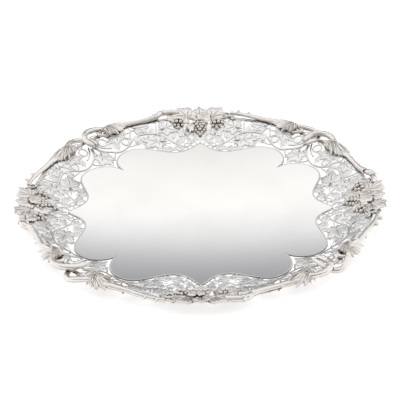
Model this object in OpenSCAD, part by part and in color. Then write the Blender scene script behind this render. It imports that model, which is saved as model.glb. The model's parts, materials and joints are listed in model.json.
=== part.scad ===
// Round silver salver with a pierced vine border and a cast vine rim.
// Frame: +Z up, origin under the centre of the well on the surface that the salver rests on.
// The rim repeats four times round the centre. Each quarter is drawn about the +Y axis and turned.

/* [Sheet] */
// Thickness of the sheet that the well and the border are made from
sheet_t = 1.2; // [1:0.1:1.6]
// Radius of the flat middle of the well
flat_r = 128; // [126:1:129]
// Radius of the curve by which the sheet rises towards the rim
dish_r = 116; // [110:2:130]

/* [Border] */
// Radius of the border's outer edge, under the rim castings
edge_r = 185; // [184:0.5:186]
// Width of the plain margin along the well
margin_w = 2.2; // [1.8:0.1:2.6]
// Width of a vine stem in the piercing
vine_w = 1.6; // [1.2:0.1:2]
// Height of the bead that runs round the well
bead_h = 0.9; // [0.7:0.1:1.2]

/* [Rim] */
// Radius of a branch where it is plain
branch_r = 2.9; // [2.6:0.1:3.1]
// Radius of a tendril
tendril_r = 1.1; // [0.9:0.1:1.3]

/* [Clusters] */
// Radius of one grape
grape_r = 2.5; // [2.3:0.1:2.6]
// Thickness of a cast leaf
leaf_t = 1.4; // [1:0.1:1.6]

/* [Hidden] */
SIDES = ["north", "east", "south", "west"];
QUARTERS = ["ne", "se", "sw", "nw"];

land_w = 7;            // width of the level land that the rim castings sit on
land_r = edge_r - land_w;
rim_share = edge_r / 188;  // the rim is drawn for an edge of 188
land_lap = 0.9;        // how far the land's strip laps onto the risen sheet
plate_r = 153;         // beyond the furthest lobe of the well
panel_r = 117;         // inside the beaks of the border
dish_step = 17;        // radial length of one flat of the risen sheet
weld = 0.2;            // gaps in the piercing up to twice this are closed
grape_pitch = 4.3;     // spacing of the grapes
seat = 0.6;            // share of a casting's radius that lies above its flat back
stem_top = 3.2;        // a thicker casting spreads sideways only
section_n = 8;         // sides of a cast stem
dish_n = 96;           // sides of the round sheet
cut_h = 30;            // taller than the risen sheet
twig_share = 0.8;      // a twig's radius against a branch's
taper = 0.6;           // width of the margin against the room left in a beak
land_step = 3.75;      // angle of one flat of the land's edges
crown = 1.6;           // lift of the inner grapes of a long row
row_pitch = 0.9;       // spacing of the rows of grapes against that of the grapes
seat_r = 145;          // inside the innermost grape

// The line between the well and the border, from the cusp on +Y to the beak on the diagonal
SCALLOP = [[0, 142], [5, 136.5], [12, 128.5], [21, 123], [32, 121.8], [46, 125.5], [58, 129.5],
           [70, 131], [80, 127.5], [89, 118.5], [92.5, 107], [91, 96], [85, 85]];

// The rim branch that starts to the right of a cluster and passes under the next one
UNDER = [[36, 190.5], [48, 187], [61, 181], [72, 174.5], [84, 168.5], [97, 162], [108, 154],
         [117, 151], [127, 150], [135, 146.5], [139, 139.5], [136.5, 132]];
UNDER_R = [0.8, 0.9, 0.95, 1.05, 1.1, 1.5, 1.9, 1.25, 1.2, 1.2, 1.15, 1.05];
UNDER_Z = [0, 0, 0, 0, 0, 0, 0, 0, -1.5, -3.5, -4, -3.5];

// The rim branch on the left of a cluster, drawn mirrored, which curls over the other one's end
OVER = [[51, 182.5], [60, 177.5], [74, 171.5], [89, 165.5], [101, 159.5], [109, 153.5], [117, 154],
        [125, 150.5], [131, 144], [133, 135.5], [131, 128], [126.5, 122.5], [121.5, 118.5]];
OVER_R = [1.15, 1, 1, 1.1, 1.6, 1.9, 1.3, 1.25, 1.25, 1.2, 1.15, 1, 0.9];
OVER_Z = [0, 0, 0, 0, 0, 0, 0.8, 1.6, 2, 2, 1.4, 0.6, 0.6];

TWIG = [[-50.5, 184], [-47, 189], [-42.4, 191.4], [-33, 192], [-25, 190]];
TWIG_R = [1.2, 1.4, 1.5, 1.3, 1.1];
TENDRIL = [[18, 180], [24, 178.5], [30.5, 179.8], [35, 183], [34, 187.5], [30, 188.2], [28, 185],
           [29.6, 182], [34, 180.5], [38.5, 181.5], [41.5, 179], [39.5, 176.5], [36.5, 177.8]];

// Vine stems in the piercing, each from the diagonal or from another stem
STEMS = [
    [[116, 116], [110, 115.5], [101, 117.5], [93, 123], [85, 132], [76, 139.5], [68, 149], [57, 154],
     [46, 152], [38, 146], [31, 139], [24, 133.5], [15, 126.5]],
    [[126, 133], [114, 128], [104, 127], [96, 131], [90, 139], [86, 149], [83, 160]],
    [[68, 149], [71, 157], [70, 169]],
    [[46, 152], [43, 161], [40, 177]],
    [[31, 139], [24, 143], [17, 150], [9, 162]],
    [[24, 133.5], [15, 138], [8, 146], [3, 152]],
    [[104, 127], [104, 135], [108, 149]],
    [[54, 128.5], [55, 133], [53, 141]],
    [[101, 117.5], [103, 110], [105, 105]]];

// Leaves in the piercing: the stalk end, then the tip
LEAVES = [
    [[40, 146], [64, 137]], [[46, 154], [25, 171]], [[66, 153], [86, 150]], [[60, 153], [55, 174]],
    [[26, 142], [13, 152]], [[104, 117], [104, 99]], [[91, 134], [101, 150]], [[24, 134], [17, 143]]];

// Half of the solid sheet under the main bunch
GRAPE_PAD = [[0, 139], [3, 141], [3, 151], [10, 164], [14, 183], [0, 184]];

// One half of a vine leaf's outline, from the stalk to the tip, for a leaf one unit long
LEAF_HALF = [[0, 0.04], [0.26, -0.1], [0.26, 0.14], [0.52, 0.26], [0.27, 0.46], [0.22, 0.7]];

// Grapes in each row of a bunch, from its stalk to its tip
MAIN_ROWS = [4, 5, 4, 3, 2, 1];
SIDE_ROWS = [2, 3, 2];

function unit(v) = v / norm(v);
function normal(v) = [-v[1], v[0]];
function reversed(p) = [for (i = [len(p) - 1:-1:0]) p[i]];
function flipped(p) = [for (q = p) [-q[0], q[1]]];
function swapped(p) = [for (q = p) [q[1], q[0]]];

// Height of the sheet's underside: flat in the middle, an arc to the land, then level under the rim
function dish_z(r) = r <= flat_r ? 0
    : dish_r - sqrt(pow(dish_r, 2) - pow(min(r, land_r) - flat_r, 2));
function top_z(r) = dish_z(r) + sheet_t;

// A smooth curve through the points, with n steps between each pair
function smooth_at(a, b, c, d, t) =
    0.5 * (2 * b + (c - a) * t + (2 * a - 5 * b + 4 * c - d) * t * t + (3 * b - a - 3 * c + d) * t * t * t);
function smooth(p, n) = concat(
    [for (i = [0:len(p) - 2]) for (k = [0:n - 1])
        smooth_at(p[max(i - 1, 0)], p[i], p[i + 1], p[min(i + 2, len(p) - 1)], k / n)],
    [p[len(p) - 1]]);
function heading(p, i) = unit(p[min(i + 1, len(p) - 1)] - p[max(i - 1, 0)]);

// The ring of points round a cast stem at point i of its path, with its flat back at the bottom
function ring(p, r, z, i) =
    let (side = normal(heading(p, i)), rise = min(r, stem_top))
    [for (k = [0:section_n - 1])
        let (a = 360 * (k + 0.5) / section_n, across = p[i] + side * r * cos(a))
        [across[0], across[1], z + rise * (seat + max(sin(a), -seat))]];

// A closed solid that follows a path, with a radius and a height at each point
module cast_stem(p, r, z) {
    points = [for (i = [0:len(p) - 1]) each ring(p, r[i], z[i], i)];
    last = len(p) - 1;
    around = [for (i = [0:last - 1]) for (k = [0:section_n - 1])
        let (a = i * section_n + k, b = i * section_n + (k + 1) % section_n)
        each [[a, b, b + section_n], [a, b + section_n, a + section_n]]];
    ends = [[for (k = [section_n - 1:-1:0]) k], [for (k = [0:section_n - 1]) last * section_n + k]];
    polyhedron(points, concat(around, ends), convexity = 8);
}

// A stem on the rim: p is its path, share its radius at each point of it, lift its height there
module rim_stem(p, base_r, share, lift, n = 2) {
    path = smooth(p, n) * rim_share;
    cast_stem(path, [for (s = smooth(share, n)) base_r * s],
              [for (i = [0:len(path) - 1]) top_z(norm(path[i])) + smooth(lift, n)[i]]);
}

// A flat strip of one width along a path
module strip(p, w) {
    half = [for (i = [0:len(p) - 1]) normal(heading(p, i)) * w / 2];
    polygon(concat([for (i = [0:len(p) - 1]) p[i] + half[i]],
                   reversed([for (i = [0:len(p) - 1]) p[i] - half[i]])));
}

module leaf_outline(stalk, tip) {
    half = concat(LEAF_HALF, [[0, 1]]);
    way = tip - stalk;
    outline = concat(half, reversed([for (i = [1:len(half) - 2]) [-half[i][0], half[i][1]]]));
    polygon([for (q = outline) stalk + way * q[1] - normal(way) * q[0]]);
}

// Radii at which the section of the sheet changes its slope between r1 and r2
function stations(r1, r2) =
    [r1, each [for (r = [flat_r:dish_step:land_r - 1]) if (r > r1 && r < r2) r],
     each [for (r = [land_r]) if (r > r1 && r < r2) r], r2];

// The sheet as a solid of revolution between two radii, from a height below its top to one above it
module dish_shell(r1, r2, below, above) {
    radii = stations(r1, r2);
    rotate_extrude($fn = dish_n)
        polygon(concat([for (r = radii) [r, top_z(r) - below]],
                       [for (r = reversed(radii)) [r, top_z(r) + above]]));
}

half_scallop = smooth(SCALLOP, 3);
quarter_scallop = concat(half_scallop, [for (i = [len(half_scallop) - 2:-1:0]) swapped(half_scallop)[i]]);
well_outline = [for (a = [0, 90, 180, 270]) for (i = [0:len(quarter_scallop) - 2])
    let (q = quarter_scallop[i]) [q[0] * cos(a) + q[1] * sin(a), q[1] * cos(a) - q[0] * sin(a)]];

// Margin along the well, which tapers to nothing in the tip of the beak
module well_margin() {
    p = half_scallop;
    width = [for (q = p) min(margin_w, (q[1] - q[0]) * taper)];
    polygon(concat(p, reversed([for (i = [0:len(p) - 2]) p[i] + normal(heading(p, i)) * width[i]])));
}

// The land under the rim castings, for one eighth of the border
module edge_band() {
    polygon(concat([for (a = [0:land_step:45]) edge_r * [sin(a), cos(a)]],
                   [for (a = [45:-land_step:0]) (land_r - land_lap) * [sin(a), cos(a)]]));
}

// One eighth of the piercing: margin, land, stems, leaves, and the pad under the grapes
module vine_eighth() {
    well_margin();
    edge_band();
    polygon(GRAPE_PAD);
    for (stem = STEMS) strip(smooth(stem, 2), vine_w);
    for (leaf = LEAVES) leaf_outline(leaf[0], leaf[1]);
}

module vine_quarter() {
    vine_eighth();
    mirror([1, -1, 0]) vine_eighth();
}

module well_plate() {
    color("gainsboro")
        intersection() {
            linear_extrude(height = cut_h) polygon(well_outline);
            dish_shell(0, plate_r, sheet_t, 0);
        }
}

module border_panel() {
    color("silver")
        intersection() {
            linear_extrude(height = cut_h)
                offset(delta = -weld) offset(delta = weld) vine_quarter();
            dish_shell(panel_r, edge_r + 1, sheet_t, 0);
        }
}

// A raised line on the margin, beside the joint between well and border
module well_bead() {
    p = smooth(SCALLOP, 2);
    line = [for (i = [1:len(p) - 3])
        p[i] + normal(heading(p, i)) * min(margin_w, (p[i][1] - p[i][0]) * taper) / 2];
    color("whitesmoke")
        intersection() {
            linear_extrude(height = cut_h)
                strip(concat(line, reversed(swapped(line))), bead_h);
            dish_shell(panel_r, plate_r, 0, bead_h);
        }
}

module branch_under() {
    color("silver") rim_stem(UNDER, branch_r, UNDER_R, UNDER_Z);
}

module branch_over() {
    color("silver") rim_stem(flipped(OVER), branch_r, OVER_R, OVER_Z);
}

module twig() {
    color("silver") rim_stem(TWIG, branch_r * twig_share, TWIG_R, [0, 0.4, 0.6, 1, 1], 3);
}

module tendril() {
    share = [for (i = [0:len(TENDRIL) - 1]) 1 - 0.04 * i];
    lift = [1, 1, 1, 1, 1, 1, 1, 1.5, 3, 3.5, 3, 2.4, 1.8];
    color("silver") rim_stem(TENDRIL, tendril_r, share, lift, 2);
}

// A cast vine leaf, flat at its back, that lies level on the land
module cast_leaf(stalk, tip, lift = 0) {
    color("silver")
        translate([0, 0, top_z(land_r) + lift])
            linear_extrude(height = leaf_t) leaf_outline(stalk * rim_share, tip * rim_share);
}

// A bunch of grapes, seated on the sheet, whose stalk is at the given place and whose rows run inwards
module bunch(at, rows) {
    color("gainsboro")
        difference() {
            for (row = [0:len(rows) - 1]) for (i = [0:rows[row] - 1])
                let (x = at[0] + (i - (rows[row] - 1) / 2) * grape_pitch,
                     y = at[1] - row * grape_pitch * row_pitch,
                     lift = rows[row] > 2 && i > 0 && i < rows[row] - 1 ? crown : 0)
                translate([x, y, top_z(norm([x, y])) + grape_r * seat + lift])
                    sphere(r = grape_r, $fn = 32);
            dish_shell(seat_r, edge_r, 10, 0);
        }
}

module leaf_left() { cast_leaf([-7, 182], [-27, 199]); }
module leaf_right() { cast_leaf([7, 182], [26, 199]); }
module leaf_top() { cast_leaf([0, 182], [0, 201.5], leaf_t); }
module bunch_main() { bunch([0, 173], MAIN_ROWS); }
module bunch_left() { bunch([-24, 174], SIDE_ROWS); }
module bunch_right() { bunch([19, 171.5], SIDE_ROWS); }

module turned(i) { rotate([0, 0, -90 * i]) children(); }

well_plate();
for (i = [0:3]) turned(i) {
    border_panel();
    well_bead();
    branch_under();
    branch_over();
    twig();
    tendril();
    leaf_left();
    leaf_right();
    leaf_top();
    bunch_main();
    bunch_left();
    bunch_right();
}
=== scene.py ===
"""A round silver salver with a pierced vine border and a cast rim of knotted branches.

Lengths in the lists are millimetres. Each quarter is drawn about +Y and the diagonal to its right,
then turned. The sheet's top lies at sheet_top(r), and the cast pieces stand on its level land.
"""
import json
import math
import random

import bpy
from mathutils import Matrix, Vector


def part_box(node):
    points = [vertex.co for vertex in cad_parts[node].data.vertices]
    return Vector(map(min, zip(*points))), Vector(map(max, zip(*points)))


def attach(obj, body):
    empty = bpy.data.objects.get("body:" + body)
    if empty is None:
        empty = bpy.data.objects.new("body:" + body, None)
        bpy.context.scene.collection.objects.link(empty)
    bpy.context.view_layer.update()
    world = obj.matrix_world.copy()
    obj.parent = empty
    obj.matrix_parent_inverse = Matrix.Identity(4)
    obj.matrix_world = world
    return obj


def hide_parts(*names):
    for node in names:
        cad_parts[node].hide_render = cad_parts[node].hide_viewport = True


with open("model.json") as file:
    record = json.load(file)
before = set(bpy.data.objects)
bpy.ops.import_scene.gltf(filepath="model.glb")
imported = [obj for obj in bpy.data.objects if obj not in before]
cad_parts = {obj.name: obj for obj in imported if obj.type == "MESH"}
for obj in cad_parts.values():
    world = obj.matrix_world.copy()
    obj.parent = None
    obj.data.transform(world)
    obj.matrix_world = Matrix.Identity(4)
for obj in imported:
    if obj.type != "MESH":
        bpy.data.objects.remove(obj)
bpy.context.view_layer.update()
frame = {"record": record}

bl_info = {
    "name": "Vine Salver",
    "version": (1, 0, 0),
    "blender": (4, 5, 0),
    "location": "View3D > Sidebar > Salver",
    "description": "Builds a pierced and cast silver salver round its packed frame",
    "category": "Add Mesh",
}

MM = 0.001
SIDES = ("north", "east", "south", "west")
QUARTERS = ("ne", "se", "sw", "nw")

# The frame's own places
SHEET_T = next(m["pos_m"][2] for m in frame["record"]["mounts"] if m["name"] == "well_top") / MM
EDGE_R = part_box("border_panel_ne")[1][0] / MM
LAND_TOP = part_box("border_panel_ne")[1][2] / MM
LAND_W = 7
LAND_R = EDGE_R - LAND_W
FLAT_R = 128
DRAWN_EDGE_R = 188  # the rim's routes are drawn for this edge
RIM_SHARE = EDGE_R / DRAWN_EDGE_R
DISH_R = ((LAND_R - FLAT_R) ** 2 + (LAND_TOP - SHEET_T) ** 2) / (2 * (LAND_TOP - SHEET_T))
BLEND = 14  # how far out from the scalloped line the visible dish takes to reach its full rise
TABLE_GAP = 0.05  # nothing on the sheet comes nearer to the table than this

# The line between the well and the border, from the cusp on +Y to the beak on the diagonal
SCALLOP = ((0, 142), (5, 136.5), (12, 128.5), (21, 123), (32, 121.8), (46, 125.5), (58, 129.5),
           (70, 131), (80, 127.5), (89, 118.5), (92.5, 107), (91, 96), (85, 85))

# Vine stems in the piercing: the radius of the wire, then its route
STEMS = (
    (0.95, ((119, 123), (112, 119.5), (104.5, 119.5), (96, 121.5), (89.5, 125.5), (84, 131.5),
            (80, 138), (76.5, 144), (73, 149), (67, 152.5), (60, 154.5), (52, 155.5), (45, 154),
            (40, 151), (35.5, 147), (31.5, 143.5), (28, 141), (23, 137.5), (18, 135.5), (14.5, 135))),
    (0.6, ((0, 150.5), (2.5, 153), (5.5, 152.5), (7, 149.5), (6.8, 146))),
    (0.55, ((6.8, 146), (4.4, 142), (5, 138), (7.5, 136.5), (11, 137.5), (12, 141), (9.5, 144),
            (6.8, 146))),
    (0.6, ((12, 141), (12.5, 146), (13.8, 150.5), (15.5, 154))),
    (0.6, ((14.5, 135), (14, 131), (16.3, 127.8), (21, 126), (25.5, 128), (30.5, 130.5), (36, 131),
           (42, 131.5))),
    (0.6, ((28, 141), (26.5, 145), (23.5, 148), (19, 150))),
    (0.7, ((52, 155.5), (46, 157.5), (40, 161))),
    (0.65, ((52, 156), (50.5, 160.5), (50.5, 166), (51, 171), (49, 176), (44, 178.5), (37, 178))),
    (0.6, ((51, 171.5), (57, 170), (61, 166.5), (62, 161.5), (61, 155))),
    (0.6, ((61, 132), (63, 138.5), (66, 143), (70, 147), (74, 146), (77.5, 142))),
    (0.5, ((66, 142.5), (69, 139.2), (73, 138), (77, 135.5), (82, 134.5))),
    (0.65, ((77.5, 142.5), (79.8, 146.5), (80, 151), (78.5, 155.5), (75, 159))),
    (0.6, ((78.5, 143), (84, 145.3), (90, 144.5), (95, 142))),
    (0.65, ((97, 121.3), (95.6, 116), (96.8, 110), (99, 105.5), (102.5, 102.5))),
    (0.7, ((120, 126), (113, 124.4), (106, 124.8), (100, 126.5))),
    (0.6, ((121.5, 121.5), (120.2, 117), (117, 112.5), (112.5, 109), (108, 108))),
    (0.5, ((32, 123), (32.5, 127), (31, 130.5))),
    (0.6, ((84, 159), (81, 163), (77, 172))),
    (0.6, ((101, 137), (106, 135), (110, 137))),
    (0.55, ((25, 170), (27, 176), (25, 181))))

# Tendril rings in the piercing: centre, radius
RINGS = (((15, 138.4), 2.9), ((71.6, 142.4), 2.1), ((83.5, 155.5), 3.3), ((85.3, 139.6), 4.2),
         ((110.8, 131.6), 4.9), ((119.6, 138.6), 5.4), ((67.5, 170.5), 2.6))

# Vine leaves in the piercing: the stalk end, then the tip
BORDER_LEAVES = (((33, 140.5), (69, 146)), ((50, 157), (24, 174)), ((81, 156), (58, 166)),
                 ((14.5, 149), (23, 173)), ((89, 154), (104, 132)))
SMALL_LEAVES = (((18, 136), (30, 128.5)), ((30, 133), (43, 126.5)), ((27, 143), (17, 150)),
                ((10, 140), (12, 150)), ((45, 168), (41, 179)), ((97, 134.5), (91, 127.5)),
                ((100, 140), (109, 146)), ((57, 155), (55.5, 165)), ((40, 132), (49, 128.5)),
                ((86, 147), (92, 158)), ((30, 148), (33, 158)), ((8, 154), (6, 165)),
                ((70, 150), (73, 140)))
# How far along from the stalk end a leaf's blade starts
BORDER_INSET = 0.4
SMALL_INSET = 0.34
BEAK_LEAF = ((115, 115), (97, 97))
CUSP_LEAF = ((0, 158), (0, 144.5))

# Reach of a vine leaf at angles from its midrib, for a leaf one unit long from its stalk to its tip
VINE_LOBES = ((0, 1.0), (26, 0.68), (52, 0.92), (80, 0.56), (106, 0.74), (134, 0.42), (155, 0.48),
              (180, 0.12))
CAST_LOBES = ((0, 1.0), (24, 0.82), (50, 0.95), (78, 0.74), (104, 0.82), (134, 0.58), (155, 0.6),
              (180, 0.2))
HUSK_LOBES = ((0, 1.0), (13, 0.66), (23, 0.8), (37, 0.46), (50, 0.6), (68, 0.34), (92, 0.42),
              (130, 0.2), (180, 0.14))

# Rim branches: x, y, share of the branch's radius, lift above the land
UNDER = ((36, 190.5, 0.8, 0), (48, 187, 0.9, 0), (61, 181, 0.95, 0), (72, 174.5, 1.05, 0),
         (84, 168.5, 1.15, 0), (97, 162, 1.3, 0), (108, 154, 1.2, 0.4), (117, 152.5, 1.1, 0.6),
         (127, 150, 1.1, -1), (134.5, 146.5, 1.1, -3), (138, 140, 1.1, -3.6), (136.5, 132.5, 1.05, -3.4),
         (133, 126.5, 1, -1.8), (128, 121.5, 0.95, -0.2), (121.5, 117, 0.8, 0))
OVER = ((50.5, 183, 1.35, 0), (54, 181, 1.35, 0), (60, 177.5, 1.1, 0), (74, 171.5, 1.05, 0),
        (89, 165.5, 1.15, 0), (101, 160, 1.3, 0), (109, 154.5, 1.2, 0.8), (117, 153.5, 1.15, 1.4),
        (125, 150.5, 1.2, 1.8), (131, 144, 1.32, 2.2), (133, 135.5, 1.32, 2.2), (131, 128, 1.28, 1.5),
        (126.5, 122.5, 1.2, 0.8), (121.5, 118.5, 0.95, 0.4))
# The trumpet that a branch's end comes out of, the scroll beside it and the small cast stems
HORN = ((80, 170.5, 1, -0.2), (89, 165, 1.25, -0.5), (97, 159, 1.6, -1), (103.5, 153, 2, -1.8),
        (108.5, 148, 2.2, -2.2))
VOLUTE = ((106, 144, 0.8, 0), (112, 142.5, 0.75, 0.4), (117, 144.5, 0.75, 0.6), (117.5, 149, 0.7, 0.6),
          (113.5, 150, 0.6, 0.6))
TWIG = ((51, 184, 1.1, 0), (47.5, 188.5, 1.35, 0.2), (44, 190.8, 1.2, 0.4), (42.6, 191.2, 1.5, 0.2),
        (41.2, 191.5, 1.25, 0.4), (33, 192, 1.3, 0.6), (25, 190, 1, 0.8))
TENDRIL = ((18, 180), (24, 178.5), (30.5, 179.8), (35, 183), (34, 187.5), (30, 188.2), (28, 185),
           (29.6, 182), (34, 180.5), (38.5, 181.5), (41.5, 179), (39.5, 176.5), (36.5, 177.8))
# Stubs of bark on the under branch: foot, tip
NUBS = (((44, 187.5), (46.5, 194)), ((55, 183), (58.5, 188.5)))
# Blades of a husk: gap to the trumpet, width, stalk, tip
WRAPS = ((0.3, 0.8, (110, 150), (86, 168)), (0.5, 1.1, (108, 152), (97, 169)),
         (0.5, 0.9, (110, 150), (110, 163)), (0.4, 0.7, (104, 150), (88, 160)))

# The room that the silver mirrors: degrees from straight ahead, brightness, tint
NEUTRAL = (1, 0.99, 0.98)
COOL = (0.965, 0.98, 1.03)
WARM = (1, 0.95, 0.9)
ROOM_LIGHT = 1.4
ROOM = ((0, 0.32, COOL), (20, 0.38, COOL), (26, 0.46, COOL), (29.3, 0.78, NEUTRAL),
        (30.7, 1.02, NEUTRAL), (31.5, 1.12, NEUTRAL), (32.6, 1.16, NEUTRAL), (33.2, 0.85, COOL),
        (33.7, 0.56, COOL), (34.2, 0.36, COOL), (35.5, 0.34, COOL), (39, 0.9, NEUTRAL),
        (50, 1.15, NEUTRAL), (90, 1.15, NEUTRAL), (108, 0.95, NEUTRAL), (125, 0.68, WARM),
        (148, 0.5, WARM), (180, 0.4, WARM))


def sheet_top(r):
    """Height of the sheet's top at a radius: flat, then an arc up to the level land."""
    rise = min(r, LAND_R) - FLAT_R
    return SHEET_T + (DISH_R - math.sqrt(DISH_R ** 2 - rise ** 2) if rise > 0 else 0)


def surface(x, y):
    """Height of the top at a place: level with the well along the scalloped line, then the dish."""
    r = math.hypot(x, y)
    t = min(max((r - line_radius(math.atan2(x, y))) / BLEND, 0), 1)
    return SHEET_T + (sheet_top(r) - SHEET_T) * t * t * (3 - 2 * t)


def smooth(points, steps):
    """A curve through the points, with a number of steps between each pair."""
    last = len(points) - 1
    curve = []
    for i in range(last):
        near = (points[max(i - 1, 0)], points[i], points[i + 1], points[min(i + 2, last)])
        for k in range(steps):
            t = k / steps
            curve.append(tuple(
                b + 0.5 * t * (c - a + t * (2 * a - 5 * b + 4 * c - d + t * (3 * b - a - 3 * c + d)))
                for a, b, c, d in zip(*near)))
    return curve + [tuple(points[last])]


def line_radius(angle):
    """Radius of the scalloped line at an angle from +Y."""
    turn = abs((angle + math.pi / 4) % (math.pi / 2) - math.pi / 4) * LINE_STEPS / (math.pi / 4)
    i = min(int(turn), LINE_STEPS - 1)
    return LINE[i] + (LINE[i + 1] - LINE[i]) * (turn - i)


def swapped(points):
    """The same points on the other side of the diagonal."""
    return [(p[1], p[0], *p[2:]) for p in points]


def flipped(points):
    """The same points on the other side of the Y axis."""
    return [(-p[0], *p[1:]) for p in points]


def line_radii():
    """The scalloped line's radius at even angles, from +Y to the diagonal."""
    line = [(math.atan2(x, y), math.hypot(x, y)) for x, y in smooth(SCALLOP, 8)]
    radii = []
    for k in range(LINE_STEPS + 1):
        angle = min(k * math.pi / 4 / LINE_STEPS, line[-1][0])
        i = next(n for n in range(1, len(line)) if line[n][0] >= angle)
        (a, near), (b, far) = line[i - 1], line[i]
        radii.append(near + (far - near) * (angle - a) / (b - a))
    return radii


LINE_STEPS = 180
LINE = line_radii()

# ---------------------------------------------------------------- modelling

def deselect():
    """Leave edit mode, with nothing selected."""
    if bpy.context.object and bpy.context.object.mode != "OBJECT":
        bpy.ops.object.mode_set(mode="OBJECT")
    bpy.ops.object.select_all(action="DESELECT")


def choose(pieces):
    """Select only these pieces, the first one active."""
    deselect()
    for piece in pieces:
        piece.select_set(True)
    bpy.context.view_layer.objects.active = pieces[0]


def merge(piece, gap=0.01, closed=True):
    """Close seams and poles and, on a closed piece, point every face outwards."""
    choose([piece])
    bpy.ops.object.mode_set(mode="EDIT")
    bpy.ops.mesh.select_all(action="SELECT")
    bpy.ops.mesh.remove_doubles(threshold=gap * MM)
    bpy.ops.mesh.dissolve_degenerate(threshold=gap * 0.1 * MM)
    if closed:
        bpy.ops.mesh.normals_make_consistent(inside=False)
    bpy.ops.object.mode_set(mode="OBJECT")


def thicken(piece, depth):
    """Give a sheet its thickness, below its face, and close it."""
    choose([piece])
    solid = piece.modifiers.new("thickness", "SOLIDIFY")
    solid.thickness = depth * MM
    solid.offset = -1
    bpy.ops.object.modifier_apply(modifier=solid.name)


def shaped_grid(across, along, place):
    """A grid whose vertex at u, v, each from 0 to 1, is moved to place(u, v)."""
    deselect()
    bpy.ops.mesh.primitive_grid_add(x_subdivisions=across, y_subdivisions=along, size=1)
    piece = bpy.context.object
    for vertex in piece.data.vertices:
        vertex.co = Vector(place(vertex.co.x + 0.5, vertex.co.y + 0.5)) * MM
    return piece


def joined(pieces):
    """The pieces as one object."""
    choose(pieces)
    if len(pieces) > 1:
        bpy.ops.object.join()
    return pieces[0]


def copy_of(piece, matrix=None):
    """A copy with its own mesh, whose points are moved by the matrix."""
    twin = piece.copy()
    twin.data = piece.data.copy()
    bpy.context.collection.objects.link(twin)
    if matrix is not None:
        twin.data.transform(matrix)
    return twin


def discard(pieces):
    """Remove pieces that were only copied from."""
    for piece in pieces:
        mesh = piece.data
        bpy.data.objects.remove(piece)
        bpy.data.meshes.remove(mesh)


def lay_on_sheet(piece, lift=0.0):
    """Raise a flat piece's points by the height of the sheet under them, clear of the table."""
    for vertex in piece.data.vertices:
        raised = vertex.co.z + (surface(vertex.co.x / MM, vertex.co.y / MM) + lift) * MM
        vertex.co.z = max(raised, TABLE_GAP * MM)


def quarter_turn(i):
    return Matrix.Rotation(-math.pi / 2 * i, 4, "Z")


def finish_piece(piece, name, node, material, angle=50):
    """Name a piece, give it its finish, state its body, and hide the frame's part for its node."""
    piece.name = name
    piece.data.name = name
    piece.data.materials.clear()
    piece.data.materials.append(material)
    choose([piece])
    bpy.ops.object.shade_smooth_by_angle(angle=math.radians(angle))
    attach(piece, "root")
    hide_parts(node)


def four_times(piece, stem, places, node_stem, material, angle=50):
    """The piece and three turned copies, each standing for the node of its own quarter."""
    pieces = [piece] + [copy_of(piece, quarter_turn(i)) for i in (1, 2, 3)]
    for quarter, place in zip(pieces, places):
        finish_piece(quarter, f"{stem}_{place}", f"{node_stem}_{place}", material, angle)


def wires(routes, resolution=2):
    """Round wires as one mesh. Each route's points hold x, y, z and a radius."""
    deselect()
    bpy.ops.curve.primitive_nurbs_path_add()
    piece = bpy.context.object
    curve = piece.data
    curve.splines.clear()
    for route in routes:
        ring = route[0][:3] == route[-1][:3]
        points = route[:-1] if ring else route
        spline = curve.splines.new("POLY")
        spline.points.add(len(points) - 1)
        spline.use_cyclic_u = ring
        for point, (x, y, z, radius) in zip(spline.points, points):
            point.co = (x * MM, y * MM, z * MM, 1)
            point.radius = radius
    curve.dimensions = "3D"
    curve.twist_mode = "Z_UP"
    curve.bevel_depth = MM
    curve.bevel_resolution = resolution
    curve.use_fill_caps = True
    bpy.ops.object.convert(target="MESH")
    piece = bpy.context.object
    merge(piece)
    return piece


def cast_tube(path, sides=20, flutes=0, flute_depth=0.0, squash=0.92):
    """A closed cast tube along x, y, z, radius points, with shallow flutes along it."""
    short_knots, long_knots = 0.04, 0.03
    knotty = [(x, y, z, r * (1 + short_knots * math.sin(1.7 * i) + long_knots * math.sin(0.63 * i + 1)))
              for i, (x, y, z, r) in enumerate(path)]
    rows = [(*path[0][:3], 0), *knotty, (*path[-1][:3], 0)]
    spots = [Vector(p[:3]) for p in rows]
    last = len(rows) - 1
    frames = []
    for i in range(last + 1):
        ahead = spots[min(i + 1, last - 1) if i < last else last] - spots[max(i - 1, 1) if i else 0]
        if ahead.length == 0:
            ahead = spots[min(i + 2, last)] - spots[max(i - 2, 0)]
        ahead.normalize()
        side = ahead.cross(Vector((0, 0, 1))).normalized()
        frames.append((side, side.cross(ahead)))

    def place(u, v):
        i = round(u * last)
        turn = 2 * math.pi * v
        side, up = frames[i]
        radius = rows[i][3] * (1 - flute_depth * (0.5 + 0.5 * math.cos(flutes * turn + 0.15 * i)))
        return spots[i] + radius * (math.cos(turn) * side + squash * math.sin(turn) * up)

    piece = shaped_grid(last, sides, place)
    merge(piece)
    return piece


def reach(lobes, angle):
    """How far a leaf reaches at an angle from its midrib, in degrees."""
    angle = abs(angle)
    for (a, near), (b, far) in zip(lobes, lobes[1:]):
        if angle <= b:
            t = (angle - a) / (b - a)
            return far + (near - far) * (1 - t) ** 1.1 if near > far else near + (far - near) * t ** 1.1
    return lobes[-1][1]


def vein_gap(lobes, angle):
    """How far an angle lies from the nearest vein, from 0 on it to 1 between two."""
    angle = abs(angle)
    for i in range(len(lobes) - 1):
        (a, near), (b, far) = lobes[i], lobes[i + 1]
        if angle <= b:
            t = (angle - a) / (b - a)
            return t if near > far else 1 - t
    return 1


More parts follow.
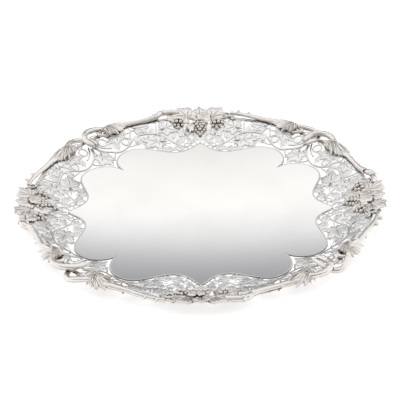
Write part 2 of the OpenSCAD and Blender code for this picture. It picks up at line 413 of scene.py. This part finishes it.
def leaf(lobes, spokes, rings, teeth, relief, pleat, cup, thickness):
    """A leaf one unit long, its stalk at the origin and its tip along +Y, with sunk veins.

    With no pleat it is level between its veins, and with a full pleat it is folded along them.
    Relief is the height of that swelling, and a negative cup turns the whole leaf's edge down.
    """
    tooth_depth, vein_width, vein_depth = 0.2, 0.045, 0.6
    rib_height, rib_rows, rib_slant = 0.22, 5, 1.6
    edge_drop = 1.2

    def place(u, v):
        angle = 360 * u - 180
        edge = reach(lobes, angle)
        saw = (abs(angle) * teeth / 360) % 1
        r = v * edge * (1 + tooth_depth * (0.5 - saw) * v ** 4)
        gap = vein_gap(lobes, angle)
        fold = math.sin(math.pi * min(gap ** 0.75, 1)) * math.sin(math.pi * min(v, 0.97)) ** 0.5
        groove = math.exp(-(gap * r / vein_width) ** 2) * min(1, 8 * r) * (1 - v ** 3)
        ribs = math.sin(2 * math.pi * (rib_rows * v - rib_slant * gap)) * gap * v * (1 - v ** 4)
        swell = (pleat * fold + 1 - pleat - vein_depth * groove + rib_height * ribs
                 - edge_drop * v ** 8)
        turn = math.radians(angle)
        return (r * math.sin(turn), r * math.cos(turn), relief * swell + cup * r * r)

    piece = shaped_grid(spokes, rings, place)
    merge(piece, 0.0005, closed=False)
    thicken(piece, thickness)
    merge(piece, 0.0005)
    return piece


def leaf_matrix(stalk, tip, z=0.0, pitch=0.0, roll=0.0, width=0.85, inset=0.3):
    """Where a leaf goes whose outline runs from the stalk to the tip."""
    start, end = Vector(stalk), Vector(tip)
    way = end - start
    length = way.length * (1 - inset)
    origin = start + way * inset
    turn = math.atan2(-way.x, way.y)
    return (Matrix.Translation((origin.x * MM, origin.y * MM, z * MM))
            @ Matrix.Rotation(turn, 4, "Z")
            @ Matrix.Rotation(math.radians(pitch), 4, "X")
            @ Matrix.Rotation(math.radians(roll), 4, "Y")
            @ Matrix.Diagonal((length * width, length, length, 1)))


# ---------------------------------------------------------------- finishes

def linked(tree, socket, source):
    """Feed a socket from a source."""
    tree.links.new(source, socket)


def silver(name, colour, tarnish_and_shade, rough, rough_spread, recess, reach_mm, walls, streak,
           slopes=(0.2, 0.95)):
    """Polished silver with wipe marks, soft clouding and a dark film in its hollows and on its steep
    faces, partly real patina and partly painted shade.

    That film is as strong as recess in hollows of reach_mm, and as walls on steep faces, where it runs
    between two values of the face normal's height. It paints the shade that falls in creases, on the
    sides of wires and on faces that turn down.
    """
    material = bpy.data.materials.new(name)
    material.use_nodes = True
    tree = material.node_tree
    nodes = tree.nodes
    shader = nodes["Principled BSDF"]
    shader.inputs["Metallic"].default_value = 1.0

    where = nodes.new("ShaderNodeTexCoord")
    cloud = nodes.new("ShaderNodeTexNoise")
    cloud.inputs["Scale"].default_value = 14
    cloud.inputs["Detail"].default_value = 5
    linked(tree, cloud.inputs["Vector"], where.outputs["Object"])

    stretch = nodes.new("ShaderNodeMapping")
    stretch.inputs["Scale"].default_value = (1, 9, 1)
    stretch.inputs["Rotation"].default_value = (0, 0, math.radians(24))
    linked(tree, stretch.inputs["Vector"], where.outputs["Object"])
    wipe = nodes.new("ShaderNodeTexNoise")
    wipe.inputs["Scale"].default_value = 90
    wipe.inputs["Detail"].default_value = 3
    linked(tree, wipe.inputs["Vector"], stretch.outputs["Vector"])

    gloss = nodes.new("ShaderNodeMapRange")
    gloss.inputs["From Min"].default_value = 0.3
    gloss.inputs["From Max"].default_value = 0.75
    gloss.inputs["To Min"].default_value = rough
    gloss.inputs["To Max"].default_value = rough + rough_spread
    linked(tree, gloss.inputs["Value"], cloud.outputs["Fac"])

    # Painted shade over some real patina: the occlusion darkens the colour in hollows and creases within
    # reach_mm.
    hollow = nodes.new("ShaderNodeAmbientOcclusion")
    hollow.samples = 6
    hollow.inputs["Distance"].default_value = reach_mm * MM
    shade = nodes.new("ShaderNodeMapRange")
    shade.inputs["From Min"].default_value = 0.25
    shade.inputs["From Max"].default_value = 0.85
    shade.inputs["To Min"].default_value = recess
    shade.inputs["To Max"].default_value = 0.0
    linked(tree, shade.inputs["Value"], hollow.outputs["AO"])

    # Painted shade over some real patina on cut edges: faces whose normal points low are darkened, which
    # gives wires dark sides and castings dark undersides.
    slope = nodes.new("ShaderNodeSeparateXYZ")
    linked(tree, slope.inputs["Vector"], where.outputs["Normal"])
    wall = nodes.new("ShaderNodeMapRange")
    wall.inputs["From Min"].default_value = slopes[0]
    wall.inputs["From Max"].default_value = slopes[1]
    wall.inputs["To Min"].default_value = walls
    wall.inputs["To Max"].default_value = 0.0
    linked(tree, wall.inputs["Value"], slope.outputs["Z"])
    worst = nodes.new("ShaderNodeMath")
    worst.operation = "MAXIMUM"
    linked(tree, worst.inputs[0], shade.outputs["Result"])
    linked(tree, worst.inputs[1], wall.outputs["Result"])

    film = nodes.new("ShaderNodeMix")
    film.data_type = "RGBA"
    film.inputs["A"].default_value = (*colour, 1)
    film.inputs["B"].default_value = (*(c * 0.9 for c in colour), 1)
    linked(tree, film.inputs["Factor"], cloud.outputs["Fac"])
    # The colour is mixed towards the dark film by the larger of the two masks: painted shade over
    # part-real patina.
    dark = nodes.new("ShaderNodeMix")
    dark.data_type = "RGBA"
    dark.inputs["B"].default_value = (*tarnish_and_shade, 1)
    linked(tree, dark.inputs["Factor"], worst.outputs["Value"])
    linked(tree, dark.inputs["A"], film.outputs["Result"])
    linked(tree, shader.inputs["Base Color"], dark.outputs["Result"])

    dull = nodes.new("ShaderNodeMath")
    dull.operation = "MULTIPLY_ADD"
    dull.inputs[1].default_value = 0.22
    linked(tree, dull.inputs[0], worst.outputs["Value"])
    linked(tree, dull.inputs[2], gloss.outputs["Result"])
    linked(tree, shader.inputs["Roughness"], dull.outputs["Value"])

    bump = nodes.new("ShaderNodeBump")
    bump.inputs["Strength"].default_value = streak
    bump.inputs["Distance"].default_value = 0.02 * MM
    linked(tree, bump.inputs["Height"], wipe.outputs["Fac"])
    linked(tree, shader.inputs["Normal"], bump.outputs["Normal"])
    return material


def finish(kind):
    """One of the silver finishes, made the first time that it is asked for."""
    name = kind + "_silver_finish"
    if name in bpy.data.materials:
        return bpy.data.materials[name]
    look = bpy.context.scene.salver_finish
    if kind == "sheet":
        return silver(name, look.silver, look.film, rough=0.05, rough_spread=0.02, recess=0.1,
                      reach_mm=1, walls=0, streak=0.03)
    # Painted shade: the bead line is given a darker silver than the sheet, so it reads as a thin dark
    # line.
    if kind == "line":
        return silver(name, look.line, look.film, rough=0.4, rough_spread=0.1, recess=0.2,
                      reach_mm=1, walls=0.2, streak=0.3)
    # Painted shade: the steep sides of the stems, rings and margin take the full dark film, so the wires
    # read with dark outlines and bright tops.
    if kind == "pierced":
        return silver(name, look.silver, look.film, rough=0.16, rough_spread=0.1, recess=0.6,
                      reach_mm=1.5, walls=1, streak=0.3, slopes=(0.3, 1.05))
    # Painted shade: the steep faces and hollows of the chased leaves are darkened in the same way.
    if kind == "chased":
        return silver(name, look.chased, look.film, rough=0.24, rough_spread=0.1, recess=0.6,
                      reach_mm=1.5, walls=0.8, streak=0.6, slopes=(0.3, 1))
    # Painted shade over some patina: the cast finish darkens faces that turn down and hollows up to 2.6
    # mm across, for the dark line under the branches and inside the knots.
    return silver(name, look.cast, look.tarnish_and_shade, rough=0.18, rough_spread=0.14, recess=0.7,
                  reach_mm=2.6, walls=0.8, streak=0.5, slopes=(-0.9, 0.25))


# ---------------------------------------------------------------- settings

class SalverSheet(bpy.types.PropertyGroup):
    """The well's plain margin and raised line"""
    margin: bpy.props.FloatProperty(
        name="Margin", description="Width of the plain margin along the well", default=1.7 * MM,
        min=1.4 * MM, max=2.8 * MM, subtype="DISTANCE", unit="LENGTH")
    bead: bpy.props.FloatProperty(
        name="Bead", description="Radius of the raised line round the well", default=0.28 * MM,
        min=0.2 * MM, max=0.6 * MM, subtype="DISTANCE", unit="LENGTH")


class SalverVine(bpy.types.PropertyGroup):
    """The pierced vine"""
    stem: bpy.props.FloatProperty(
        name="Stem", description="Size of the pierced stems against their drawn width", default=1.2,
        min=0.8, max=1.3, subtype="FACTOR")
    relief: bpy.props.FloatProperty(
        name="Leaf relief", description="Height of a leaf's swelling against its length", default=0.045,
        min=0.02, max=0.1, subtype="FACTOR")


class SalverRim(bpy.types.PropertyGroup):
    """The cast rim"""
    branch: bpy.props.FloatProperty(
        name="Branch", description="Radius of a plain branch", default=2.9 * MM, min=2.4 * MM,
        max=3.2 * MM, subtype="DISTANCE", unit="LENGTH")
    grape: bpy.props.FloatProperty(
        name="Grape", description="Radius of a grape", default=2.15 * MM, min=1.8 * MM, max=2.5 * MM,
        subtype="DISTANCE", unit="LENGTH")


class SalverFinish(bpy.types.PropertyGroup):
    """Colours of the silver"""
    silver: bpy.props.FloatVectorProperty(
        name="Silver", description="Colour of the polished sheet", subtype="COLOR", size=3,
        default=(0.94, 0.93, 0.91), min=0, max=1)
    chased: bpy.props.FloatVectorProperty(
        name="Chased silver", description="Colour of the chased leaves", subtype="COLOR", size=3,
        default=(0.9, 0.9, 0.895), min=0, max=1)
    cast: bpy.props.FloatVectorProperty(
        name="Cast silver", description="Colour of the cast rim", subtype="COLOR", size=3,
        default=(0.81, 0.782, 0.75), min=0, max=1)
    # Painted shade: the bead is the sheet's own silver, given this darker colour to stand for the shade
    # on the small raised line.
    line: bpy.props.FloatVectorProperty(
        name="Well line", description="Colour of the line round the well", subtype="COLOR", size=3,
        default=(0.7, 0.69, 0.68), min=0, max=1)
    # Dark film of the sheet parts: partly patina, partly painted shade in hollows and on the steep sides
    # of the pierced stems and leaves.
    film: bpy.props.FloatVectorProperty(
        name="Sheet tarnish", description="Colour of the film in the recesses of the sheet",
        subtype="COLOR", size=3, default=(0.14, 0.137, 0.133), min=0, max=1)
    # Dark film of the castings: partly patina, partly painted shade in hollows and on the faces that
    # turn down under the branches.
    tarnish_and_shade: bpy.props.FloatVectorProperty(
        name="Tarnish", description="Colour of the film in the recesses", subtype="COLOR", size=3,
        default=(0.13, 0.1, 0.08), min=0, max=1)


class SalverStage(bpy.types.PropertyGroup):
    """The camera"""
    distance: bpy.props.FloatProperty(
        name="Distance", description="From the camera to the salver", default=2.0, min=1, max=4,
        subtype="DISTANCE", unit="LENGTH")
    height_angle: bpy.props.FloatProperty(
        name="Elevation", description="Height of the camera above the table", default=math.radians(32.2),
        min=0.1, max=1.5, subtype="ANGLE", unit="ROTATION")
    lens: bpy.props.FloatProperty(
        name="Lens", description="Focal length", default=167.4, min=50, max=300, unit="CAMERA")


# ---------------------------------------------------------------- pieces

class SALVER_OT_well_plate(bpy.types.Operator):
    """The polished plate, level up to its scalloped edge"""
    bl_idname = "salver.well_plate"
    bl_label = "Well plate"

    def execute(self, context):
        lap = 0.3  # how far the plate runs under the margin

        def place(u, v):
            turn = 2 * math.pi * u
            r = (line_radius(turn) + lap) * v
            return (r * math.sin(turn), r * math.cos(turn), SHEET_T)

        piece = shaped_grid(1152, 28, place)
        merge(piece, 0.02, closed=False)
        thicken(piece, SHEET_T)
        merge(piece, 0.02)
        finish_piece(piece, "well_plate_polished", "well_plate", finish("sheet"))
        return {"FINISHED"}


class SALVER_OT_margins(bpy.types.Operator):
    """The plain margin along the well, and the raised line on it"""
    bl_idname = "salver.margins"
    bl_label = "Margin and bead"

    def execute(self, context):
        sheet = context.scene.salver_sheet
        width = sheet.margin / MM
        half = smooth(SCALLOP, 8)
        line = half + swapped(half[-2::-1])
        last = len(line) - 1
        lift = 0.02  # the margin's top lies this far above the sheet, and slopes up from there
        slope = 0.05
        bead_flat = 0.3
        bead_place = 0.25
        beak_share, cusp_share, least = 0.62, 2.2, 0.12

        def across(i):
            """The way out from the line at a point, across the margin."""
            ahead = Vector(line[min(i + 1, last)][:2]) - Vector(line[max(i - 1, 0)][:2])
            if i == last // 2:
                ahead = Vector((1, -1))
            return Vector((-ahead.y, ahead.x)).normalized()

        def room(i):
            """Width of the margin at a point, narrower in a beak and at a cusp."""
            x, y = line[i]
            return max(min(width, abs(y - x) * beak_share, (min(x, y) + 0.3) * cusp_share), least)

        def place(u, v):
            i = round(u * last)
            spot = Vector(line[i]) + across(i) * room(i) * v
            return (spot.x, spot.y, surface(spot.x, spot.y) + lift + slope * room(i) * v)

        margin = shaped_grid(last, 3, place)
        thicken(margin, SHEET_T)
        merge(margin, 0.001)
        four_times(margin, "border_margin", QUARTERS, "border_panel",
                   finish("pierced"), 30)

        routes = []
        for side in (list(range(2, last // 2)), list(range(last // 2 + 1, last - 1))):
            route = []
            for i in side:
                spot = Vector(line[i]) + across(i) * room(i) * bead_place
                route.append((spot.x, spot.y, 0, sheet.bead / MM))
            routes.append(route)
        bead = wires(routes)
        bead.data.transform(Matrix.Diagonal((1, 1, bead_flat, 1)))
        lay_on_sheet(bead, 0.05)
        four_times(bead, "well_bead_line", QUARTERS, "well_bead", finish("line"))
        return {"FINISHED"}


class SALVER_OT_vine_stems(bpy.types.Operator):
    """The stems and tendril rings of the pierced border"""
    bl_idname = "salver.vine_stems"
    bl_label = "Vine stems"

    def execute(self, context):
        size = context.scene.salver_vine.stem
        stalk_root, stalk_end, stalk_reach = 0.45, 0.4, 0.1
        ring_wire, ring_step = 0.6, 15
        flat, sink = 0.7, -0.3
        routes = []
        for radius, points in STEMS:
            stem = [(x, y, 0, radius * size) for x, y in smooth(points, 6)]
            routes += [stem, swapped(stem)]
        for places, inset in ((BORDER_LEAVES, BORDER_INSET), (SMALL_LEAVES, SMALL_INSET)):
            for (x, y), (far_x, far_y) in places:
                end_x = x + (far_x - x) * (inset + stalk_reach)
                end_y = y + (far_y - y) * (inset + stalk_reach)
                stalk = [(x, y, 0, stalk_root * size), (end_x, end_y, 0, stalk_end * size)]
                routes += [stalk, swapped(stalk)]
        for (x, y), radius in RINGS:
            ring = []
            for degrees in range(0, 360, ring_step):
                turn = math.radians(degrees)
                ring.append((x + radius * math.cos(turn), y + radius * math.sin(turn), 0,
                             ring_wire * size))
            ring.append(ring[0])
            routes += [ring, swapped(ring)]
        piece = wires(routes)
        piece.data.transform(Matrix.Diagonal((1, 1, flat, 1)))
        lay_on_sheet(piece, sink)
        four_times(piece, "vine_stems", QUARTERS, "border_panel",
                   finish("pierced"))
        return {"FINISHED"}


class SALVER_OT_vine_leaves(bpy.types.Operator):
    """The chased leaves of the pierced border"""
    bl_idname = "salver.vine_leaves"
    bl_label = "Vine leaves"

    def execute(self, context):
        relief = context.scene.salver_vine.relief
        large = leaf(VINE_LOBES, spokes=144, rings=14, teeth=26, relief=relief, pleat=0.2,
                     cup=-0.03, thickness=0.045)
        small = leaf(VINE_LOBES, spokes=64, rings=8, teeth=10, relief=relief, pleat=0.2,
                     cup=-0.03, thickness=0.1)
        lift = 0.1
        pieces = [copy_of(large, leaf_matrix(*BEAK_LEAF, z=lift)),
                  copy_of(small, leaf_matrix(*CUSP_LEAF, z=lift))]
        for pattern, places, width, inset in ((large, BORDER_LEAVES, 0.74, BORDER_INSET),
                                              (small, SMALL_LEAVES, 0.8, SMALL_INSET)):
            for ends in places:
                for stalk, tip in (ends, swapped(ends)):
                    matrix = leaf_matrix(stalk, tip, lift, width=width, inset=inset)
                    pieces.append(copy_of(pattern, matrix))
        discard([large, small])
        piece = joined(pieces)
        lay_on_sheet(piece)
        four_times(piece, "vine_leaves", QUARTERS, "border_panel",
                   finish("chased"))
        return {"FINISHED"}


class SALVER_OT_rim_land(bpy.types.Operator):
    """The narrow level land that the rim castings are soldered to"""
    bl_idname = "salver.rim_land"
    bl_label = "Rim land"

    def execute(self, context):
        inner = LAND_R + 3  # the land shows only outside the branches

        def place(u, v):
            turn = math.pi / 2 * u
            r = inner + (EDGE_R - inner) * v
            return (r * math.sin(turn), r * math.cos(turn), LAND_TOP)

        piece = shaped_grid(90, 3, place)
        thicken(piece, SHEET_T)
        merge(piece, 0.001)
        four_times(piece, "rim_land", QUARTERS, "border_panel",
                   finish("pierced"), 30)
        return {"FINISHED"}


def rim_path(points, radius, steps=5):
    """Tube points for a route on the rim, sunk a little into the land as a casting is."""
    seat = 0.75
    return [(x * RIM_SHARE, y * RIM_SHARE, LAND_TOP + seat * radius * share + lift, radius * share)
            for x, y, share, lift in smooth(points, steps)]


def drape(piece, path, lift):
    """Lay a flat leaf over a tube, so that it falls away on both sides of it."""
    squash, widest, fall = 0.92, 0.85, 0.5
    for vertex in piece.data.vertices:
        x, y, z = vertex.co / MM
        near = min(path, key=lambda spot: (spot[0] - x) ** 2 + (spot[1] - y) ** 2)
        away = math.hypot(near[0] - x, near[1] - y)
        radius = near[3] + lift
        held = min(away, widest * radius)
        crown = squash * math.sqrt(radius ** 2 - held ** 2)
        vertex.co.z = (z + near[2] + crown - fall * (away - held)) * MM


def husk(path, places):
    """Toothed leaves that wrap a branch, from the places of their stalks and tips."""
    pattern = leaf(HUSK_LOBES, spokes=120, rings=10, teeth=24, relief=0.07, pleat=0.8, cup=0,
                   thickness=0.05)
    pieces = []
    for lift, width, stalk, tip in places:
        ends = [(x * RIM_SHARE, y * RIM_SHARE) for x, y in (stalk, tip)]
        piece = copy_of(pattern, leaf_matrix(*ends, width=width, inset=0))
        drape(piece, path, lift)
        pieces.append(piece)
    discard([pattern])
    return pieces


def bark_stub(foot, tip):
    """A short stub that stands out from a branch."""
    ends = [(foot, 2.4, 2), (tip, 2.6, 1.7)]
    return cast_tube([(x * RIM_SHARE, y * RIM_SHARE, LAND_TOP + z, radius)
                      for (x, y), z, radius in ends], sides=12)


class SALVER_OT_rim_branches(bpy.types.Operator):
    """The cast branches that knot together on each diagonal, with their clasping leaves"""
    bl_idname = "salver.rim_branches"
    bl_label = "Rim branches"

    def execute(self, context):
        radius = context.scene.salver_rim.branch / MM
        for node, route, way in (("branch_under", UNDER, list), ("branch_over", OVER, flipped)):
            path = rim_path(way(route), radius)
            horn = rim_path(way(HORN), radius)
            volute = rim_path(way(VOLUTE), radius)
            wraps = [(lift, width, *way((stalk, tip))) for lift, width, stalk, tip in WRAPS]
            pieces = [cast_tube(path, sides=24, flutes=4, flute_depth=0.07),
                      cast_tube(horn, sides=40, flutes=9, flute_depth=0.08, squash=0.72),
                      cast_tube(volute, sides=14)]
            pieces += husk(horn, wraps)
            if node == "branch_under":
                pieces += [bark_stub(foot, tip) for foot, tip in NUBS]
            piece = joined(pieces)
            four_times(piece, "rim_" + node, SIDES, node, finish("cast"))
        return {"FINISHED"}


class SALVER_OT_twigs(bpy.types.Operator):
    """The short cut twig beside each cluster, with the ring round it"""
    bl_idname = "salver.twigs"
    bl_label = "Twigs"

    def execute(self, context):
        radius = context.scene.salver_rim.branch / MM
        piece = cast_tube(rim_path(flipped(TWIG), radius, 4), sides=20, flutes=4, flute_depth=0.08)
        four_times(piece, "cut_twig", SIDES, "twig", finish("cast"))
        return {"FINISHED"}


class SALVER_OT_tendrils(bpy.types.Operator):
    """The curled tendril beside each cluster"""
    bl_idname = "salver.tendrils"
    bl_label = "Tendrils"

    def execute(self, context):
        line = smooth(TENDRIL, 6)
        last = len(line) - 1
        foot, arch = 1.2, 2.2
        root, taper = 1.15, 0.4
        route = []
        for i, (x, y) in enumerate(line):
            z = LAND_TOP + foot + arch * math.sin(math.pi * i / last)
            route.append((x * RIM_SHARE, y * RIM_SHARE, z, root - taper * i / last))
        piece = wires([route], 3)
        four_times(piece, "curled_tendril", SIDES, "tendril", finish("cast"))
        return {"FINISHED"}


class SALVER_OT_cluster_leaves(bpy.types.Operator):
    """The large cast leaves over the grapes"""
    bl_idname = "salver.cluster_leaves"
    bl_label = "Cluster leaves"

    def execute(self, context):
        pattern = leaf(CAST_LOBES, spokes=168, rings=16, teeth=34, relief=0.05, pleat=0.5,
                       cup=-0.06, thickness=0.06)
        z = LAND_TOP + 1
        # Each leaf's stalk, tip, height, pitch, roll and width
        groups = {
            "leaf_left": (((-10, 176), (-27, 196), z, 18, -6, 0.95),
                          ((-20, 176), (-38, 184), z, 8, 0, 0.8)),
            "leaf_right": (((10, 176), (26, 196), z, 18, 6, 0.95),
                           ((18, 178), (36, 187), z, 8, 0, 0.75)),
            "leaf_top": (((0, 176), (-1, 198), z + 1.2, 16, 0, 0.8),
                         ((-9, 168), (-13, 159), 12, -8, 0, 0.9),
                         ((4, 184), (5, 167), z + 3, -12, 0, 0.9)),
        }
        for node, leaves in groups.items():
            pieces = [copy_of(pattern, leaf_matrix(stalk, tip, height, pitch, roll, width))
                      for stalk, tip, height, pitch, roll, width in leaves]
            piece = joined(pieces)
            four_times(piece, f"cast_{node}", SIDES, node, finish("cast"))
        discard([pattern])
        return {"FINISHED"}


class SALVER_OT_grapes(bpy.types.Operator):
    """The bunches of grapes"""
    bl_idname = "salver.grapes"
    bl_label = "Grapes"

    def execute(self, context):
        radius = context.scene.salver_rim.grape / MM
        choice = random.Random(7)
        deselect()
        bpy.ops.mesh.primitive_uv_sphere_add(segments=12, ring_count=8, radius=radius * MM)
        berry = bpy.context.object
        pitch = radius * 1.82
        row_gap, layer_shift = 0.86, 0.45
        seat, layer_rise = 0.8, 1.35
        stray, smallest, largest = 0.3, 0.92, 1.08
        # Each bunch's middle, then how many grapes are in each row of its lower and upper layer
        bunches = {
            "bunch_main": ((0, 174), (4, 5, 4, 4, 3, 2, 1), (3, 4, 3, 2, 1)),
            "bunch_left": ((-24.5, 175), (3, 4, 3, 1), (2, 2)),
            "bunch_right": ((19, 173.5), (3, 4, 3, 1), (2, 2)),
        }
        for node, ((x0, y0), lower, upper) in bunches.items():
            pieces = []
            for layer, rows in enumerate((lower, upper)):
                for row, count in enumerate(rows):
                    for i in range(count):
                        x = x0 + (i - (count - 1) / 2) * pitch + choice.uniform(-stray, stray)
                        y = (y0 - (row + layer_shift * layer) * pitch * row_gap
                             + choice.uniform(-stray, stray))
                        z = sheet_top(math.hypot(x, y)) + radius * (seat + layer_rise * layer)
                        size = choice.uniform(smallest, largest)
                        matrix = (Matrix.Translation((x * MM, y * MM, z * MM))
                                  @ Matrix.Diagonal((size, size, size, 1)))
                        pieces.append(copy_of(berry, matrix))
            piece = joined(pieces)
            four_times(piece, node.replace("bunch", "grapes"), SIDES, node,
                       finish("cast"), 80)
        discard([berry])
        return {"FINISHED"}


def world_light():
    """A studio room whose brightness goes by the angle from straight ahead of the camera."""
    world = bpy.context.scene.world or bpy.data.worlds.new("studio")
    bpy.context.scene.world = world
    world.use_nodes = True
    tree = world.node_tree
    nodes = tree.nodes
    nodes.clear()
    out = nodes.new("ShaderNodeOutputWorld")
    back = nodes.new("ShaderNodeBackground")
    back.inputs["Strength"].default_value = ROOM_LIGHT
    where = nodes.new("ShaderNodeTexCoord")
    split = nodes.new("ShaderNodeSeparateXYZ")
    angle = nodes.new("ShaderNodeMath")
    angle.operation = "ARCCOSINE"
    share = nodes.new("ShaderNodeMath")
    share.operation = "MULTIPLY"
    share.inputs[1].default_value = 1 / math.pi
    ramp = nodes.new("ShaderNodeValToRGB")
    tree.links.new(split.inputs["Vector"], where.outputs["Generated"])
    tree.links.new(angle.inputs[0], split.outputs["Y"])
    tree.links.new(share.inputs[0], angle.outputs["Value"])
    tree.links.new(ramp.inputs["Fac"], share.outputs["Value"])
    tree.links.new(back.inputs["Color"], ramp.outputs["Color"])
    tree.links.new(out.inputs["Surface"], back.outputs["Background"])
    stops = ramp.color_ramp.elements
    stops[0].position = 0
    stops[1].position = 1
    for _ in range(len(ROOM) - 2):
        stops.new(0.5)
    for stop, (degrees, level, tint) in zip(stops, ROOM):
        stop.position = degrees / 180
        stop.color = (*(level * c / ROOM_LIGHT for c in tint), 1)


def paper_floor():
    """A sheet of pale paper that gives off most of its own white, just under the table plane."""
    deselect()
    bpy.ops.mesh.primitive_circle_add(vertices=96, radius=6, fill_type="NGON",
                                      location=(0, 0, -0.2 * MM))
    floor = bpy.context.object
    floor.name = "studio_floor"
    paper = bpy.data.materials.new("pale_paper")
    paper.use_nodes = True
    shader = paper.node_tree.nodes["Principled BSDF"]
    shader.inputs["Base Color"].default_value = (0.5, 0.5, 0.5, 1)
    shader.inputs["Roughness"].default_value = 0.9
    shader.inputs["Specular IOR Level"].default_value = 0.0
    shader.inputs["Emission Color"].default_value = (*NEUTRAL, 1)
    shader.inputs["Emission Strength"].default_value = 0.74
    floor.data.materials.append(paper)


def paper_light():
    """A broad soft lamp straight above, which neither mirrors nor shows."""
    deselect()
    bpy.ops.object.light_add(type="AREA", location=(0, 0, 2.4))
    fill = bpy.context.object
    fill.name = "paper_light"
    fill.data.shape = "DISK"
    fill.data.size = 3.2
    fill.data.energy = 20
    fill.visible_glossy = False
    fill.visible_camera = False


def point_camera(stage):
    """A long lens from in front and above, turned a little about its own axis."""
    lift = stage.height_angle
    away = stage.distance
    side = math.radians(0.5)
    roll = Matrix.Rotation(math.radians(-1.3), 3, "Z")
    aim = Vector((-0.4, 0, 13.3)) * MM
    deselect()
    bpy.ops.object.camera_add(location=(away * math.cos(lift) * math.sin(side),
                                        -away * math.cos(lift) * math.cos(side),
                                        away * math.sin(lift)))
    camera = bpy.context.object
    facing = (aim - camera.location).to_track_quat("-Z", "Y")
    camera.rotation_euler = (facing.to_matrix() @ roll).to_euler()
    camera.data.lens = stage.lens
    camera.data.sensor_width = 36
    camera.data.clip_end = 50
    bpy.context.scene.camera = camera


class SALVER_OT_stage(bpy.types.Operator):
    """The lit paper floor, the soft lamp, the mirrored room and the camera"""
    bl_idname = "salver.stage"
    bl_label = "Stage"

    def execute(self, context):
        paper_floor()
        paper_light()
        world_light()
        point_camera(context.scene.salver_stage)
        context.scene.view_settings.view_transform = "Standard"
        return {"FINISHED"}


class SALVER_PT_panel(bpy.types.Panel):
    """The salver's settings, then a button for each step"""
    bl_idname = "SALVER_PT_panel"
    bl_label = "Vine salver"
    bl_space_type = "VIEW_3D"
    bl_region_type = "UI"
    bl_category = "Salver"

    def draw(self, context):
        for settings in ("salver_sheet", "salver_vine", "salver_rim", "salver_finish", "salver_stage"):
            group = getattr(context.scene, settings)
            for name in group.bl_rna.properties.keys():
                if name not in ("rna_type", "name"):
                    self.layout.prop(group, name)
        for step in STEPS:
            self.layout.operator(step.bl_idname)


GROUPS = {"salver_sheet": SalverSheet, "salver_vine": SalverVine, "salver_rim": SalverRim,
          "salver_finish": SalverFinish, "salver_stage": SalverStage}
STEPS = (SALVER_OT_stage, SALVER_OT_well_plate, SALVER_OT_margins, SALVER_OT_vine_stems,
         SALVER_OT_vine_leaves, SALVER_OT_rim_land, SALVER_OT_rim_branches, SALVER_OT_twigs,
         SALVER_OT_tendrils, SALVER_OT_cluster_leaves, SALVER_OT_grapes)


def register():
    """Add the operators, the panel and the settings to Blender."""
    for kind in (*GROUPS.values(), *STEPS, SALVER_PT_panel):
        bpy.utils.register_class(kind)
    for name, kind in GROUPS.items():
        setattr(bpy.types.Scene, name, bpy.props.PointerProperty(type=kind))


def unregister():
    """Take them out again."""
    for name in GROUPS:
        delattr(bpy.types.Scene, name)
    for kind in reversed((*GROUPS.values(), *STEPS, SALVER_PT_panel)):
        bpy.utils.unregister_class(kind)


def main():
    """Build everything in order."""
    register()
    for step in STEPS:
        group, name = step.bl_idname.split(".")
        getattr(getattr(bpy.ops, group), name)()


if __name__ == "__main__":
    main()
